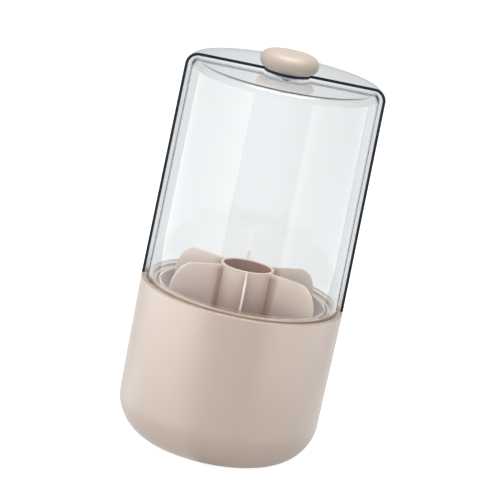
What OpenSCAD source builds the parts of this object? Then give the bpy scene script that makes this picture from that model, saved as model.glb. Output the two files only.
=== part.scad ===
// Rotating organiser for make-up brushes: a deep beige base, a cup that turns in it on a ball
// race, a lift-out divider, and a clear cover whose front half turns behind the fixed back half.
// The axis of everything is Z. The origin is the middle of the face it stands on, and the front
// is towards -Y, where the clear door is when it is closed.

/* [Base] */
// Outer diameter of the base at its ledge
base_d = 130; // [124:1:150]
// Height of the ledge above the table
base_h = 104; // [92:1:130]
// How much smaller the base's radius is at its foot
base_draft = 0.7; // [0:0.1:1.5]
// Radius of the big rounded bottom edge
base_corner_r = 28.5; // [22:0.5:30]
// Wall thickness of the base
base_wall = 3.2; // [2.8:0.1:3.8]
// Floor thickness of the base
base_floor_t = 3.2; // [3:0.1:4]
// Rounding of the ledge's outer edge
ledge_round = 0.8; // [0.3:0.1:1]
// How far the cup's rim and the collar stand above the ledge
rim_rise = 0.4; // [0.1:0.1:1.2]
// Depth of the groove that the door's hoop runs in
groove_depth = 2.5; // [2.3:0.1:4]
// Thickness of the collar between the groove and the cup
collar_t = 1.9; // [1.4:0.1:2.4]
// Thickness of the groove's floor
track_floor_t = 2; // [1.5:0.1:3]
// Number of ribs that carry the groove ring
rib_count = 8; // [4:1:12]

/* [Foot ring] */
// Outer diameter of the soft foot ring
foot_out_d = 64; // [60:1:68]
// Width of the soft foot ring
foot_w = 8; // [5:0.5:10]
// How far the foot ring stands out of the base
foot_proud = 0.8; // [0.4:0.1:1.4]
// How deep the foot ring sits in the base
foot_seat = 1.2; // [0.8:0.1:1.4]

/* [Cup] */
// Wall thickness of the turning cup
cup_wall = 1.8; // [1.4:0.1:2.2]
// Floor thickness of the turning cup
cup_floor_t = 3; // [2.8:0.1:4]
// How much smaller the cup's radius is at its floor
cup_draft = 1; // [0:0.1:1.5]
// Outer radius of the cup's bottom edge
cup_corner_r = 10; // [6:0.5:14]

/* [Divider] */
// Number of radial fins
fin_count = 6; // [3:1:8]
// Thickness of a fin
fin_t = 1.3; // [1:0.1:2]
// Outer diameter of the middle tube
tube_d = 34; // [32:0.5:44]
// Wall thickness of the middle tube
tube_wall = 1.6; // [1.2:0.1:2]
// Height of the tube and the fins above the ledge
divider_rise = 17.9; // [10:0.1:40]
// Radius out to which the fins' tops are level
fin_flat_r = 38.5; // [30:0.5:44]
// Where the fins' rounded shoulders start above the ledge
fin_foot_rise = 0.3; // [0:0.1:4]

/* [Cover] */
// Height of the cover above the ledge
cover_h = 144.6; // [130:0.1:180]
// Wall thickness of the fixed back half
cover_wall = 1.8; // [1.5:0.1:1.9]
// How much smaller the cover's radius is at its top
cover_draft = 1.5; // [0:0.1:2]
// Radius of the cover's shoulder
cover_shoulder_r = 8; // [5:0.5:10]
// Radius of the tab that reaches forward round the knob
cover_tab_r = 14.6; // [12:0.1:17]
// Depth of the lip that locates the cover in the base
lip_depth = 2; // [1.5:0.1:2.5]
// Thickness of the locating lip
lip_t = 0.8; // [0.6:0.1:0.9]

/* [Door] */
// Wall thickness of the turning front half
door_wall = 1.8; // [1.4:0.1:2]
// How much smaller the door's radius is at its top
door_draft = 1.5; // [0:0.1:2]
// Radius of the door's shoulder
door_shoulder_r = 4.9; // [3:0.1:7]
// Thickness of the hoop at the door's foot
hoop_t = 3.8; // [2.4:0.1:4.2]
// How far the hoop stands above the ledge
hoop_rise = 2.8; // [1:0.1:6]
// Gap between the door's top and the cover's top
top_gap = 1.45; // [1.2:0.05:2.5]
// Radius of the tab that reaches back round the pivot
door_tab_r = 13; // [10:0.1:16]

/* [Knob] */
// Diameter of the knob
knob_d = 37.2; // [30:0.2:44]
// Height of the knob
knob_h = 12.2; // [11:0.1:16]
// Height of the knob's widest line above its underside
knob_mid_h = 5.9; // [5:0.1:7]
// Radius of the flat on the knob's underside
knob_flat_r = 12.4; // [9:0.1:14]
// Radius at which the knob's crown starts
knob_crown_r = 11.6; // [8:0.1:13]
// Height of the knob's shallow crown
knob_crown_h = 0.5; // [0.2:0.1:1.5]

/* [Ball race] */
// Number of balls
ball_count = 12; // [6:1:12]
// Diameter of a ball
ball_d = 5; // [4.4:0.1:5.4]
// Radius of the circle the balls run on
race_pitch_r = 19; // [18:0.5:20]
// Thickness of the pressed race plates
race_t = 1.2; // [1:0.1:2]
// Height of the two ribs that guide the balls on each plate
race_rib_h = 1.4; // [0.8:0.1:1.5]
// Width of a guide rib
race_rib_w = 1.2; // [0.8:0.1:1.4]
// Room between the guide ribs and the heads of the race's screws
screw_room = 3.2; // [2.5:0.1:4]
// Margin of the race plates outside those heads
race_edge = 1.4; // [1:0.1:2]
// Diameter of the spindle
spindle_d = 8; // [6:0.1:9]

/* [Hidden] */

// Smoothness of circles and of the arcs in outlines
round_fn = 96;
small_fn = 32;
arc_steps = 16;
small_steps = 5;
// Overrun of cuts through a face
over = 1;

// Clearances: a thread or a moulded-in piece, fixed pieces, pieces that pass and a running pin
snug_gap = 0.05;
fit_gap = 0.15;
run_gap = 0.3;
pin_gap = 0.06;
hoop_gap = 0.6;
collar_gap = 0.8;
cup_gap = 0.7;
cover_inset = 0.1;

// Colours
beige = [0.83, 0.74, 0.67];
beige_dark = [0.77, 0.68, 0.61];
clear_tint = [0.86, 0.9, 0.93, 0.3];
steel_tint = [0.74, 0.75, 0.77];
brass_tint = [0.8, 0.66, 0.36];
white_tint = [0.93, 0.93, 0.91];
rubber_tint = [0.8, 0.79, 0.77];

// Radii, from the outside in
base_r = base_d / 2;
base_foot_r = base_r - base_draft;
base_flat_r = base_foot_r - base_corner_r;
mouth_r = base_r - base_wall;
hoop_r = mouth_r - hoop_gap;
hoop_in_r = hoop_r - hoop_t;
collar_r = hoop_in_r - collar_gap;
collar_in_r = collar_r - collar_t;
cup_r = collar_in_r - cup_gap;
cup_in_r = cup_r - cup_wall;
cup_foot_r = cup_r - cup_draft;
cup_corner_in_r = cup_corner_r - cup_wall;
fin_end_r = cup_in_r - run_gap;
tube_r = tube_d / 2;
tube_in_r = tube_r - tube_wall;
foot_out_r = foot_out_d / 2;
foot_in_r = foot_out_r - foot_w;
cover_r = base_r - cover_inset;
cover_in_r = cover_r - cover_wall;
cover_top_r = cover_r - cover_draft;
door_top_r = hoop_r - door_draft;

// Heights, from the table up
foot_top_z = foot_proud + foot_seat;
base_floor_z = foot_proud + base_floor_t;
boss_h = 2;
lower_race_z = base_floor_z + boss_h;
lower_race_top = lower_race_z + race_t;
ball_r = ball_d / 2;
ball_z = lower_race_top + run_gap + ball_r;
upper_race_z = ball_z + ball_r + run_gap;
cup_z = upper_race_z + race_t;
cup_floor_z = cup_z + cup_floor_t;
rim_z = base_h + rim_rise;
groove_z = base_h - groove_depth;
track_z = groove_z - track_floor_t;
hoop_z = groove_z + run_gap;
hoop_top_z = base_h + hoop_rise;
divider_z = cup_floor_z + run_gap;
divider_top_z = base_h + divider_rise;
fin_shoulder_z = base_h + fin_foot_rise;
cover_top_z = base_h + cover_h;
cover_under_z = cover_top_z - cover_wall;
door_top_z = cover_under_z - top_gap;
door_under_z = door_top_z - door_wall;

// Screws of the race, and their bosses in the base
race_screw_count = 3;
lower_screw_turn = 60;
thread_r = 1.25;
screw_head_r = 2.8;
screw_head_h = 1.6;
screw_tip = 1.2;
head_sink = 0.2;
cross_w = 0.8;
cross_l = 3;
cross_depth = 0.8;
guide_in_r = race_pitch_r - ball_r - run_gap;
guide_out_r = race_pitch_r + ball_r + run_gap;
screw_pcd_r = guide_out_r + race_rib_w + screw_room + screw_head_r;
race_r = screw_pcd_r + screw_head_r + race_edge;
boss_edge = 1;
boss_r = screw_head_r + boss_edge;
pilot_floor_t = 0.4;
pilot_spare = 0.4;
pilot_depth = lower_race_z - foot_top_z - pilot_floor_t;
counterbore_depth = screw_head_h + head_sink;

// Spindle, its washer and its clip
spindle_r = spindle_d / 2;
spindle_flange_w = 2;
spindle_flange_r = spindle_r + spindle_flange_w;
spindle_flange_t = 1.2;
spindle_nose = 1;
washer_w = 4;
washer_r = spindle_r + washer_w;
washer_t = 0.8;
washer_lift = 0.2;
clip_t = 0.8;
clip_w = 2.4;
clip_r = spindle_r + clip_w;
clip_groove = 1;
clip_neck_r = spindle_r - clip_groove;
clip_mouth_share = 1.45;
clip_mouth_w = clip_neck_r * clip_mouth_share;
washer_z = cup_z + washer_lift;
clip_z = washer_z + washer_t;
spindle_top_z = clip_z + clip_t + spindle_nose;
pocket_room = 1.5;
pocket_r = washer_r + pocket_room;
pocket_roof_gap = 0.8;
hub_roof_t = 2;
hub_top_z = spindle_top_z + pocket_roof_gap + hub_roof_t;
hub_r = tube_in_r - run_gap;

// Ribs in the base that carry the groove ring
rib_w = 3.2;
rib_t = 2;

// Lip of the cover, and the step in the ledge that it drops into
lip_inset = 0.15;
lip_in_r = cover_in_r + lip_inset;
lip_r = lip_in_r + lip_t;
lip_side_gap = 0.25;
lip_under_gap = 0.2;
lip_end_angle = 2;
step_end_angle = 1.2;

// Step in the hoop that the door's shell is bonded into
hoop_seat_r = hoop_r - door_wall - fit_gap;
hoop_seat_angle = 0.4;

// Pivot at the top of the cover
bush_in_r = 3.6;
bush_t = 1.4;
bush_r = bush_in_r + bush_t;
bush_flange_w = 3;
bush_flange_r = bush_r + bush_flange_w;
bush_flange_t = 0.6;
stem_r = bush_in_r - pin_gap;
bush_z = cover_under_z - bush_flange_t;
pivot_boss_z = bush_z - run_gap;
spigot_share = 1.3;
spigot_w = stem_r * spigot_share;
spigot_gap = 0.1;
spigot_short = 0.2;
pivot_thread_r = 1.5;
pivot_head_w = 1.4;
pivot_head_r = pivot_thread_r + pivot_head_w;
pivot_head_h = 1.9;
pivot_washer_w = 2.1;
pivot_washer_r = pivot_head_r + pivot_washer_w;
pivot_washer_t = 0.8;
pivot_washer_z = door_under_z - pivot_washer_t;
knob_z = cover_top_z + run_gap;
insert_t = 0.9;
insert_r = pivot_thread_r + insert_t;
insert_h = knob_h / 2;
insert_lift = 0.6;
insert_z = knob_z + insert_lift;
screw_end_gap = 1;

// Small roundings
rim_round = 0.6;
foot_round = 0.5;

// Points of an arc about (cx, cz) from angle a0 to a1, with its own radius along each axis
function arc(cx, cz, rx, rz, a0, a1, n = arc_steps) = [
    for (i = [0:n])
        let (a = a0 + (a1 - a0) * i / n)
            [cx + rx * cos(a), cz + rz * sin(a)]
];

// Turns an outline, given as radius and height, about the axis
module turned(outline) {
    rotate_extrude($fn = round_fn)
        polygon(outline);
}

// Turns an outline from one angle to another, counted from +X
module swept(outline, from, to) {
    rotate([0, 0, from])
        rotate_extrude(angle = to - from, $fn = round_fn)
            polygon(outline);
}

// A flat ring or disc
module ring(r, hole_r, z, h) {
    translate([0, 0, z])
        difference() {
            cylinder(r = r, h = h, $fn = round_fn);
            translate([0, 0, -over])
                cylinder(r = hole_r, h = h + over * 2, $fn = round_fn);
        }
}

// Places its children at equal steps round the axis
module around(count, r, turn = 0) {
    for (i = [0:count - 1])
        rotate([0, 0, turn + 360 * i / count])
            translate([r, 0, 0])
                children();
}

// A round-headed screw with a cross in its head: the head's underside is at z = 0
module round_screw(head_r, head_h, shank_r, shank_l) {
    difference() {
        rotate_extrude($fn = small_fn)
            polygon(concat(
                [[0, -shank_l], [shank_r, -shank_l], [shank_r, 0]],
                arc(0, 0, head_r, head_h, 0, 90, small_steps)
            ));
        for (a = [0, 90])
            rotate([0, 0, a])
                translate([-cross_l / 2, -cross_w / 2, head_h - cross_depth])
                    cube([cross_l, cross_w, cross_depth + over]);
    }
}

// Outline of a thin shell: a drafted wall, a rounded shoulder and a flat top
function shell_outline(foot_r, top_r, foot_z, top_z, shoulder_r, wall) = concat(
    [[0, top_z - wall]],
    arc(top_r - shoulder_r, top_z - shoulder_r, shoulder_r - wall, shoulder_r - wall, 90, 0),
    [[foot_r - wall, foot_z], [foot_r, foot_z]],
    arc(top_r - shoulder_r, top_z - shoulder_r, shoulder_r, shoulder_r, 0, 90),
    [[0, top_z]]
);

// The beige bowl: ledge, rounded bottom, bosses for the race and ribs for the groove ring
module base_shell() {
    corner_z = foot_proud + base_corner_r;
    in_corner_r = base_corner_r - base_wall;
    in_corner_z = base_floor_z + in_corner_r;
    color(beige)
        difference() {
            union() {
                turned(concat(
                    [[0, foot_proud]],
                    arc(base_flat_r, corner_z, base_corner_r, base_corner_r, -90, 0),
                    arc(base_r - ledge_round, base_h - ledge_round,
                        ledge_round, ledge_round, 0, 90, small_steps),
                    [[mouth_r, base_h]],
                    arc(base_flat_r, in_corner_z, in_corner_r, in_corner_r, 0, -90),
                    [[0, base_floor_z]]
                ));
                around(race_screw_count, screw_pcd_r, lower_screw_turn)
                    translate([0, 0, base_floor_z - base_floor_t / 2])
                        cylinder(r = boss_r, h = boss_h + base_floor_t / 2, $fn = small_fn);
                around(rib_count, mouth_r - rib_w, 180 / rib_count)
                    translate([0, -rib_t / 2, in_corner_z])
                        cube([rib_w + base_wall / 4, rib_t, track_z - in_corner_z]);
            }
            // Seat of the foot ring
            ring(foot_out_r, foot_in_r, -over, foot_top_z + over);
            // Pilot holes of the race's screws
            around(race_screw_count, screw_pcd_r, lower_screw_turn)
                translate([0, 0, lower_race_z - pilot_depth])
                    cylinder(r = thread_r, h = pilot_depth + over, $fn = small_fn);
            // Step behind the ledge's inner edge, for the cover's lip
            swept([
                [mouth_r - over, base_h - lip_depth - lip_under_gap],
                [lip_r + lip_side_gap, base_h - lip_depth - lip_under_gap],
                [lip_r + lip_side_gap, base_h + over],
                [mouth_r - over, base_h + over]
            ], step_end_angle, 180 - step_end_angle);
        }
}

// The soft ring that the base stands on, glued into its seat
module foot_ring() {
    in_r = foot_in_r + fit_gap;
    out_r = foot_out_r - fit_gap;
    color(rubber_tint)
        turned(concat(
            [[in_r, foot_top_z]],
            arc(in_r + foot_round, foot_round, foot_round, foot_round, 180, 270, small_steps),
            arc(out_r - foot_round, foot_round, foot_round, foot_round, -90, 0, small_steps),
            [[out_r, foot_top_z]]
        ));
}

// The ring in the base's mouth: the groove's floor, and the collar round the cup's rim
module track_ring() {
    out_r = mouth_r - fit_gap;
    color(beige)
        turned(concat(
            [[collar_in_r, track_z], [out_r, track_z], [out_r, groove_z], [collar_r, groove_z]],
            arc(collar_r - rim_round, rim_z - rim_round, rim_round, rim_round, 0, 90, small_steps),
            arc(collar_in_r + rim_round, rim_z - rim_round, rim_round, rim_round, 90, 180, small_steps)
        ));
}

// Outline of a race plate from its back face (z) towards the balls (dir 1 is up)
function race_outline(bore_r, z, dir) =
    let (
        face = z + dir * race_t,
        crest = face + dir * race_rib_h,
        a = guide_in_r - race_rib_w,
        b = guide_in_r,
        c = guide_out_r,
        d = guide_out_r + race_rib_w
    )
    [
        [bore_r, z], [race_r, z], [race_r, face], [d, face], [d, crest], [c, crest], [c, face],
        [b, face], [b, crest], [a, crest], [a, face], [bore_r, face]
    ];

// The fixed race plate, screwed to the base's bosses
module lower_race() {
    color(steel_tint)
        difference() {
            turned(race_outline(spindle_r + fit_gap, lower_race_z, 1));
            around(race_screw_count, screw_pcd_r, lower_screw_turn)
                translate([0, 0, lower_race_z - over])
                    cylinder(r = thread_r + run_gap, h = race_t + over * 2, $fn = small_fn);
        }
}

// The three screws that hold the fixed race plate
module lower_race_screws() {
    color(steel_tint)
        around(race_screw_count, screw_pcd_r, lower_screw_turn)
            translate([0, 0, lower_race_top])
                round_screw(screw_head_r, screw_head_h, thread_r - snug_gap,
                    race_t + pilot_depth - pilot_spare);
}

// The flanged pin that the cup turns about
module spindle() {
    color(steel_tint)
        turned([
            [0, lower_race_z - spindle_flange_t],
            [spindle_flange_r, lower_race_z - spindle_flange_t],
            [spindle_flange_r, lower_race_z],
            [spindle_r, lower_race_z],
            [spindle_r, clip_z],
            [clip_neck_r, clip_z],
            [clip_neck_r, clip_z + clip_t],
            [spindle_r, clip_z + clip_t],
            [spindle_r, spindle_top_z],
            [0, spindle_top_z]
        ]);
}

// The washer over the upper race
module spindle_washer() {
    color(steel_tint)
        ring(washer_r, spindle_r + fit_gap, washer_z, washer_t);
}

// The clip that keeps the washer on the spindle
module spindle_clip() {
    color(steel_tint)
        difference() {
            ring(clip_r, clip_neck_r + fit_gap, clip_z, clip_t);
            translate([0, -clip_mouth_w / 2, clip_z - over])
                cube([clip_r + over, clip_mouth_w, clip_t + over * 2]);
        }
}

// The ring that keeps the balls apart
module ball_cage() {
    cage_t = 1.6;
    cage_in_r = race_pitch_r - ball_r - race_rib_w;
    cage_r = race_pitch_r + ball_r + race_rib_w;
    color(white_tint)
        difference() {
            ring(cage_r, cage_in_r, ball_z - cage_t / 2, cage_t);
            around(ball_count, race_pitch_r)
                translate([0, 0, ball_z - cage_t])
                    cylinder(r = ball_r + fit_gap, h = cage_t * 2, $fn = small_fn);
        }
}

// The balls of the race
module bearing_balls() {
    color(steel_tint)
        around(ball_count, race_pitch_r)
            translate([0, 0, ball_z])
                sphere(r = ball_r, $fn = small_fn);
}

// The turning race plate under the cup
module upper_race() {
    color(steel_tint)
        difference() {
            turned(race_outline(spindle_r + pin_gap, cup_z, -1));
            around(race_screw_count, screw_pcd_r)
                translate([0, 0, upper_race_z - over])
                    cylinder(r = thread_r, h = race_t + over * 2, $fn = small_fn);
        }
}

// The three screws through the cup's floor into the turning race plate
module cup_screws() {
    head_z = cup_floor_z - counterbore_depth;
    color(steel_tint)
        around(race_screw_count, screw_pcd_r)
            translate([0, 0, head_z])
                round_screw(screw_head_r, screw_head_h, thread_r - snug_gap,
                    head_z - upper_race_z + screw_tip);
}

// The cup that turns in the base
module rotating_cup() {
    corner_z = cup_z + cup_corner_r;
    in_corner_z = cup_floor_z + cup_corner_in_r;
    color(beige)
        difference() {
            turned(concat(
                [[0, cup_z]],
                arc(cup_foot_r - cup_corner_r, corner_z, cup_corner_r, cup_corner_r, -90, 0),
                arc(cup_r - rim_round, rim_z - rim_round, rim_round, rim_round, 0, 90, small_steps),
                arc(cup_in_r + rim_round, rim_z - rim_round, rim_round, rim_round, 90, 180, small_steps),
                arc(cup_foot_r - cup_corner_r, in_corner_z, cup_corner_in_r, cup_corner_in_r, 0, -90),
                [[hub_r, cup_floor_z], [hub_r, hub_top_z], [0, hub_top_z]]
            ));
            // Pocket over the spindle
            translate([0, 0, cup_z - over])
                cylinder(r = pocket_r, h = spindle_top_z + pocket_roof_gap - cup_z + over, $fn = round_fn);
            // Holes and counterbores of the screws
            around(race_screw_count, screw_pcd_r) {
                translate([0, 0, cup_z - over])
                    cylinder(r = thread_r + fit_gap, h = cup_floor_t + over * 2, $fn = small_fn);
                translate([0, 0, cup_floor_z - counterbore_depth])
                    cylinder(r = screw_head_r + run_gap, h = counterbore_depth + over, $fn = small_fn);
            }
        }
}

// Outline of one fin, as radius and height
function fin_outline() = concat(
    [[tube_r - tube_wall / 2, divider_z]],
    arc(cup_foot_r - cup_corner_r, cup_floor_z + cup_corner_in_r,
        cup_corner_in_r - run_gap, cup_corner_in_r - run_gap, -90, 0, small_steps * 2),
    arc(fin_flat_r, fin_shoulder_z, fin_end_r - fin_flat_r, divider_top_z - fin_shoulder_z, 0, 90),
    [[tube_r - tube_wall / 2, divider_top_z]]
);

// The lift-out divider: a tube with radial fins, moulded in one
module divider_insert() {
    color(beige_dark)
        difference() {
            union() {
                translate([0, 0, divider_z])
                    cylinder(r = tube_r, h = divider_top_z - divider_z, $fn = round_fn);
                for (i = [0:fin_count - 1])
                    rotate([0, 0, 360 * i / fin_count - 90])
                        rotate([90, 0, 0])
                            linear_extrude(height = fin_t, center = true)
                                polygon(fin_outline());
            }
            translate([0, 0, divider_z - over])
                cylinder(r = tube_in_r, h = divider_top_z - divider_z + over * 2, $fn = round_fn);
        }
}

// The fixed back half of the clear cover, with a tab round the knob and a locating lip
module back_shell() {
    color(clear_tint)
        difference() {
            union() {
                swept(shell_outline(cover_r, cover_top_r, base_h, cover_top_z,
                    cover_shoulder_r, cover_wall), 0, 180);
                translate([0, 0, cover_under_z])
                    cylinder(r = cover_tab_r, h = cover_wall, $fn = round_fn);
                swept([
                    [lip_in_r, base_h - lip_depth],
                    [lip_r, base_h - lip_depth],
                    [lip_r, base_h + cover_wall / 2],
                    [lip_in_r, base_h + cover_wall / 2]
                ], lip_end_angle, 180 - lip_end_angle);
            }
            translate([0, 0, cover_under_z - over])
                cylinder(r = bush_r, h = cover_wall + over * 2, $fn = round_fn);
        }
}

// The flanged bush in the cover's tab, in which the knob's stem turns
module pivot_bush() {
    color(white_tint)
        turned([
            [bush_in_r, bush_z], [bush_flange_r, bush_z], [bush_flange_r, cover_under_z],
            [bush_r - fit_gap, cover_under_z], [bush_r - fit_gap, cover_top_z], [bush_in_r, cover_top_z]
        ]);
}

// The full hoop that runs in the base's groove and carries the door's shell
module door_hoop() {
    color(clear_tint)
        difference() {
            turned([
                [hoop_in_r, hoop_z], [hoop_r, hoop_z], [hoop_r, hoop_top_z], [hoop_in_r, hoop_top_z]
            ]);
            swept([
                [hoop_seat_r, base_h],
                [hoop_r + over, base_h],
                [hoop_r + over, hoop_top_z + over],
                [hoop_seat_r, hoop_top_z + over]
            ], 180 - hoop_seat_angle, 360 + hoop_seat_angle);
        }
}

// The turning front half of the cover, with its tab and the boss that the knob drives
module front_door() {
    hole_w = spigot_w + spigot_gap * 2;
    color(clear_tint)
        difference() {
            union() {
                swept(shell_outline(hoop_r, door_top_r, base_h, door_top_z,
                    door_shoulder_r, door_wall), 180, 360);
                translate([0, 0, door_under_z])
                    cylinder(r = door_tab_r, h = door_wall, $fn = round_fn);
                translate([0, 0, door_under_z])
                    cylinder(r = bush_flange_r, h = pivot_boss_z - door_under_z, $fn = round_fn);
            }
            translate([-hole_w / 2, -hole_w / 2, door_under_z - over])
                cube([hole_w, hole_w, pivot_boss_z - door_under_z + over * 2]);
        }
}

// The pebble-shaped knob, with the stem that passes through the bush and drives the door
module knob() {
    knob_r = knob_d / 2;
    mid_z = knob_z + knob_mid_h;
    crown_z = knob_z + knob_h - knob_crown_h;
    spigot_z = door_under_z + spigot_short;
    color(beige)
        difference() {
            union() {
                turned(concat(
                    [[0, knob_z]],
                    arc(knob_flat_r, mid_z, knob_r - knob_flat_r, knob_mid_h, -90, 0),
                    arc(knob_crown_r, mid_z, knob_r - knob_crown_r, crown_z - mid_z, 0, 90),
                    [for (i = [small_steps - 1:-1:0])
                        let (t = i / small_steps)
                            [knob_crown_r * t, crown_z + knob_crown_h * (1 - t * t)]]
                ));
                translate([0, 0, pivot_boss_z])
                    cylinder(r = stem_r, h = knob_z - pivot_boss_z + insert_lift, $fn = round_fn);
                translate([-spigot_w / 2, -spigot_w / 2, spigot_z])
                    cube([spigot_w, spigot_w, pivot_boss_z - spigot_z + insert_lift]);
            }
            translate([0, 0, spigot_z - over])
                cylinder(r = pivot_thread_r + fit_gap, h = insert_z - spigot_z + over * 2, $fn = small_fn);
            translate([0, 0, insert_z])
                cylinder(r = insert_r + snug_gap, h = insert_h, $fn = small_fn);
        }
}

// The threaded insert moulded into the knob
module knob_insert() {
    color(brass_tint)
        ring(insert_r, pivot_thread_r + snug_gap, insert_z, insert_h);
}

// The screw that pulls the knob's stem down onto the door
module pivot_screw() {
    color(steel_tint)
        translate([0, 0, pivot_washer_z])
            mirror([0, 0, 1])
                round_screw(pivot_head_r, pivot_head_h, pivot_thread_r,
                    insert_z + insert_h - screw_end_gap - pivot_washer_z);
}

// The washer under that screw's head
module screw_washer() {
    color(steel_tint)
        ring(pivot_washer_r, pivot_thread_r + fit_gap, pivot_washer_z, pivot_washer_t);
}

base_shell();
foot_ring();
track_ring();
lower_race();
lower_race_screws();
spindle();
spindle_washer();
spindle_clip();
ball_cage();
bearing_balls();
upper_race();
cup_screws();
rotating_cup();
divider_insert();
back_shell();
pivot_bush();
door_hoop();
front_door();
knob();
knob_insert();
pivot_screw();
screw_washer();
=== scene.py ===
import math

import bmesh
import bpy
from mathutils import Matrix, Vector


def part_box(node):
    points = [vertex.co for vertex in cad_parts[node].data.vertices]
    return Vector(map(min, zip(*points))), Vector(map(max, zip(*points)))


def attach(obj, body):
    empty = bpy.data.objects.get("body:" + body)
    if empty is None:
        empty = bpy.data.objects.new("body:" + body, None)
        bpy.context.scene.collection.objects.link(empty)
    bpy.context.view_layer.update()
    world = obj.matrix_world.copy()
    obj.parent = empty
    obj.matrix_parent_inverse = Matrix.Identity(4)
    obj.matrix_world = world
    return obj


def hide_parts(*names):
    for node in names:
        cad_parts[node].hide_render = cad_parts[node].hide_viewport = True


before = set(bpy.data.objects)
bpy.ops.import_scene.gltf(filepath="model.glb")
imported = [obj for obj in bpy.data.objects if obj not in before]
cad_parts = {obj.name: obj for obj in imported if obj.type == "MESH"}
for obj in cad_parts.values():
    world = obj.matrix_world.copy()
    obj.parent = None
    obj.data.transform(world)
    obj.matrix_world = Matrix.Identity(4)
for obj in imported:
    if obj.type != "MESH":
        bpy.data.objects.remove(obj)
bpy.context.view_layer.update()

MM = 0.001


def reach(node):
    """Radius of a node that is turned about the axis."""
    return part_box(node)[1].x


def foot_of(node):
    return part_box(node)[0].z


def top_of(node):
    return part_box(node)[1].z


# Base
BASE_R = reach("base_shell")
BASE_Z = foot_of("base_shell")
LEDGE_Z = top_of("base_shell")
BASE_DRAFT = 0.7 * MM
BASE_CORNER = 28.5 * MM
BASE_WALL = 3.2 * MM
BASE_FLOOR = 3.2 * MM
LEDGE_ROUND = 0.8 * MM
MOUTH_R = BASE_R - BASE_WALL
FOOT_IN_R = 24 * MM
FOOT_OUT_R = 32 * MM
FOOT_SEAT = 1.2 * MM
RIB_COUNT = 8
RIB_W = 3.2 * MM
RIB_T = 2 * MM
BOSS_COUNT = 3
BOSS_R = 3.8 * MM
BOSS_H = 2 * MM
SCREW_PITCH_R = 29 * MM
SCREW_R = 1.25 * MM

# Groove ring and cup
TRACK_R = reach("track_ring")
TRACK_Z = foot_of("track_ring")
TRACK_FLOOR = 2 * MM
RIM_Z = top_of("rotating_cup")
RIM_ROUND = 0.6 * MM
CUP_R = reach("rotating_cup")
CUP_Z = foot_of("rotating_cup")
CUP_WALL = 1.8 * MM
CUP_FLOOR = 3 * MM
CUP_DRAFT = 1 * MM
CUP_CORNER = 10 * MM
COLLAR_GAP = 0.7 * MM
COLLAR_T = 1.9 * MM
HUB_R = 15.1 * MM
HUB_TOP_Z = CUP_Z + 5.6 * MM
POCKET_R = 9.5 * MM
POCKET_TOP_Z = CUP_Z + 3.6 * MM
COUNTERBORE_R = 3.1 * MM
COUNTERBORE = 1.8 * MM

# Divider
DIVIDER_Z = foot_of("divider_insert")
DIVIDER_TOP_Z = top_of("divider_insert")
FIN_RIM_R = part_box("divider_insert")[1].y
FIN_FOOT_R = FIN_RIM_R - CUP_DRAFT
FIN_LEVEL_R = 38.5 * MM
FIN_SHOULDER_Z = LEDGE_Z + 0.3 * MM
FIN_T = 1.3 * MM
FIN_COUNT = 6
FIN_ROUND = 0.35 * MM
FIN_DROP = 0.15 * MM
TUBE_R = 17 * MM
TUBE_WALL = 1.6 * MM

# Cover: the fixed back half
COVER_R = reach("back_shell")
COVER_TOP_Z = top_of("back_shell")
COVER_WALL = 1.8 * MM
COVER_DRAFT = 1.5 * MM
COVER_SHOULDER = 8 * MM
COVER_TAB_R = 14.6 * MM
BUSH_R = 5 * MM
LIP_IN = 0.15 * MM
LIP_T = 0.8 * MM
LIP_DEPTH = 2 * MM
LIP_END = 2
STEP_R = COVER_R - COVER_WALL + LIP_IN + LIP_T + 0.25 * MM
STEP_DEPTH = 2.2 * MM
STEP_END = 1.2

# Door: the turning front half on its hoop
HOOP_R = reach("door_hoop")
HOOP_Z = foot_of("door_hoop")
HOOP_TOP_Z = top_of("door_hoop")
HOOP_T = 3.8 * MM
DOOR_WALL = 1.8 * MM
DOOR_DRAFT = 1.5 * MM
DOOR_SHOULDER = 4.9 * MM
DOOR_TAB_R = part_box("front_door")[1].y
DOOR_BOSS_R = 8 * MM
DOOR_BOSS_Z = top_of("front_door")
DOOR_TOP_Z = DOOR_BOSS_Z - 0.1 * MM
DOOR_CAP = 1.4 * MM
DOOR_SEAT_Z = DOOR_BOSS_Z - 2.35 * MM
SPIGOT_W = 4.6 * MM
SPIGOT_GAP = 0.1 * MM

# Knob
KNOB_R = reach("knob")
KNOB_TOP_Z = top_of("knob") - 0.2 * MM
KNOB_Z = COVER_TOP_Z + 0.1 * MM
KNOB_MID = 5.9 * MM
KNOB_FLAT_R = 13.4 * MM
KNOB_CROWN_R = 11.6 * MM
KNOB_CROWN = 0.5 * MM
STEM_R = 3.54 * MM
INSERT_R = 2.45 * MM
INSERT_Z = KNOB_Z + 0.6 * MM
INSERT_H = 6.1 * MM
THREAD_R = 1.65 * MM

# Fineness of turned shapes
TURN_STEP = 1.5
CORNER_STEPS = 28
EDGE_STEPS = 6
SHARP_ANGLE = 32
ROUNDED_ANGLE = 60
ROUND_STEPS = 3
CUT_EDGE_ROUND = 0.3 * MM
CLOSE = 0.0005 * MM


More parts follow.
